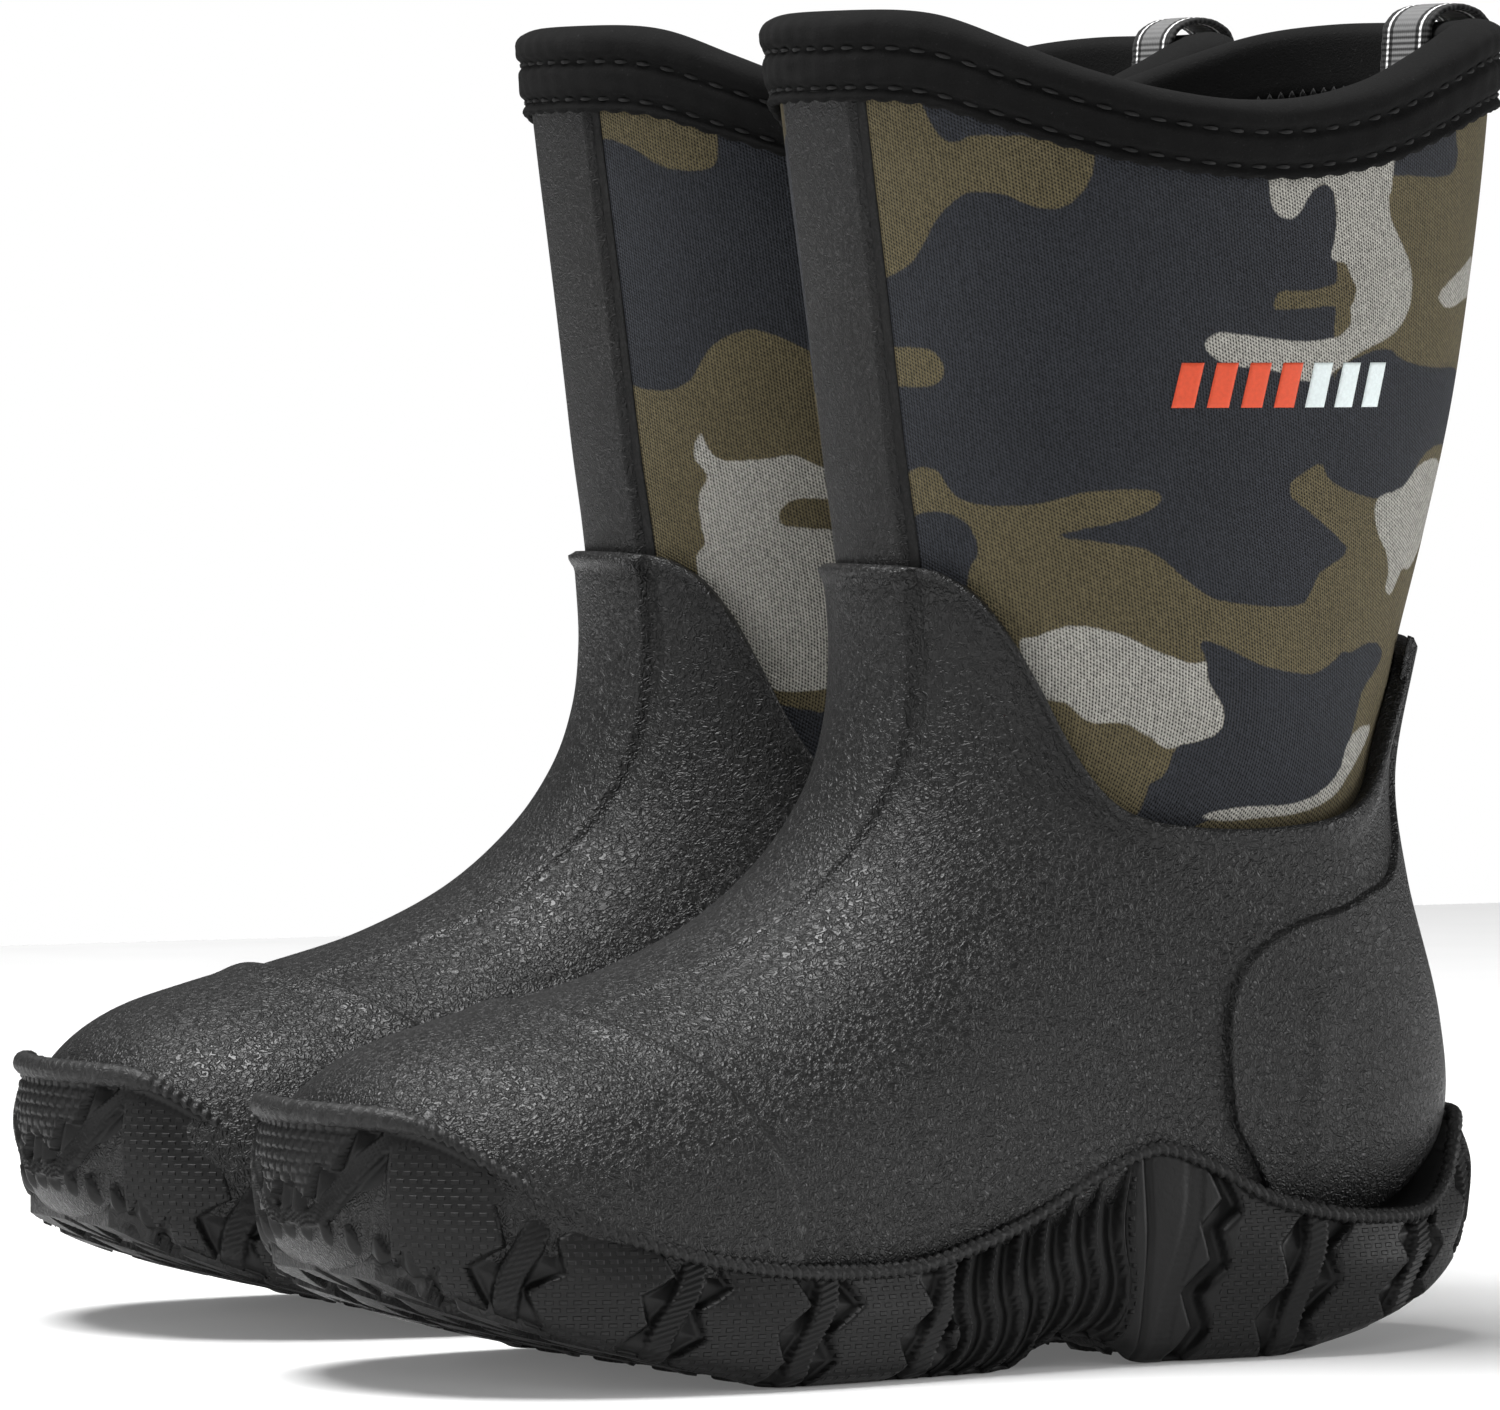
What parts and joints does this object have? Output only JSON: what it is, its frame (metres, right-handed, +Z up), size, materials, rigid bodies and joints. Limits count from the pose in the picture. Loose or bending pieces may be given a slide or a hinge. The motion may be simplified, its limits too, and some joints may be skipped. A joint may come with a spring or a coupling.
{
  "type": "insulated hunting boots",
  "caption": "Pair of child's pull-on rubber and neoprene hunting boots with camouflage shafts, bound wavy collars, heel pull loops and lugged soles.",
  "frame": {"origin": "bottom centre of the box round the pair", "axes": "+Z up, toes toward -X, left boot on -Y"},
  "size_m": [0.2308, 0.1982, 0.2239],
  "materials": {
    "outsole_rubber": "matt moulded rubber with fine raised textures",
    "midsole_board": "matt foam board",
    "shank_steel": "plain strip",
    "shell_rubber": "satin black rubber with a fine wrinkled grain",
    "camo_neoprene": "ribbed knit face in a three-colour camouflage print",
    "fleece_lining": "black fleece",
    "footbed_foam": "fabric-faced foam",
    "black_fabric": "matt black stretch fabric",
    "thread": "dark sewing thread",
    "webbing": "grey woven webbing with black edges and reflective yarns"
  },
  "bodies": {
    "left_boot": {"left_outsole": "outsole_rubber", "left_midsole": "midsole_board", "left_shank": "shank_steel", "left_rubber_shell": "shell_rubber", "left_toe_cap": "shell_rubber", "left_heel_counter": "shell_rubber", "left_neoprene_bootie": "camo_neoprene", "left_inner_lining": "fleece_lining", "left_shin_strip": "shell_rubber", "left_rear_strip": "shell_rubber", "left_collar_binding": "black_fabric", "left_collar_stitch_upper": "thread", "left_collar_stitch_lower": "thread", "left_pull_loop": "webbing"},
    "left_footbed_body": {"left_footbed": "footbed_foam"},
    "right_boot": {"right_outsole": "outsole_rubber", "right_midsole": "midsole_board", "right_shank": "shank_steel", "right_rubber_shell": "shell_rubber", "right_toe_cap": "shell_rubber", "right_heel_counter": "shell_rubber", "right_neoprene_bootie": "camo_neoprene", "right_inner_lining": "fleece_lining", "right_shin_strip": "shell_rubber", "right_rear_strip": "shell_rubber", "right_collar_binding": "black_fabric", "right_collar_stitch_upper": "thread", "right_collar_stitch_lower": "thread", "right_pull_loop": "webbing"},
    "right_footbed_body": {"right_footbed": "footbed_foam"}
  },
  "joints": [
    {"name": "left_footbed_lift", "type": "hinge", "parent": "left_boot", "child": "left_footbed_body", "pos_m": [-0.09553, -0.05543, 0.0276], "axis": [0.0384, -0.9993, 0], "range_deg": [0, 12]},
    {"name": "right_footbed_lift", "type": "hinge", "parent": "right_boot", "child": "right_footbed_body", "pos_m": [-0.08853, 0.05543, 0.0276], "axis": [-0.0384, -0.9993, 0], "range_deg": [0, 12]},
    {"name": "right_boot_lift", "type": "slide", "parent": "left_boot", "child": "right_boot", "axis": [0, 0, 1], "range_m": [0, 0.25]}
  ]
}
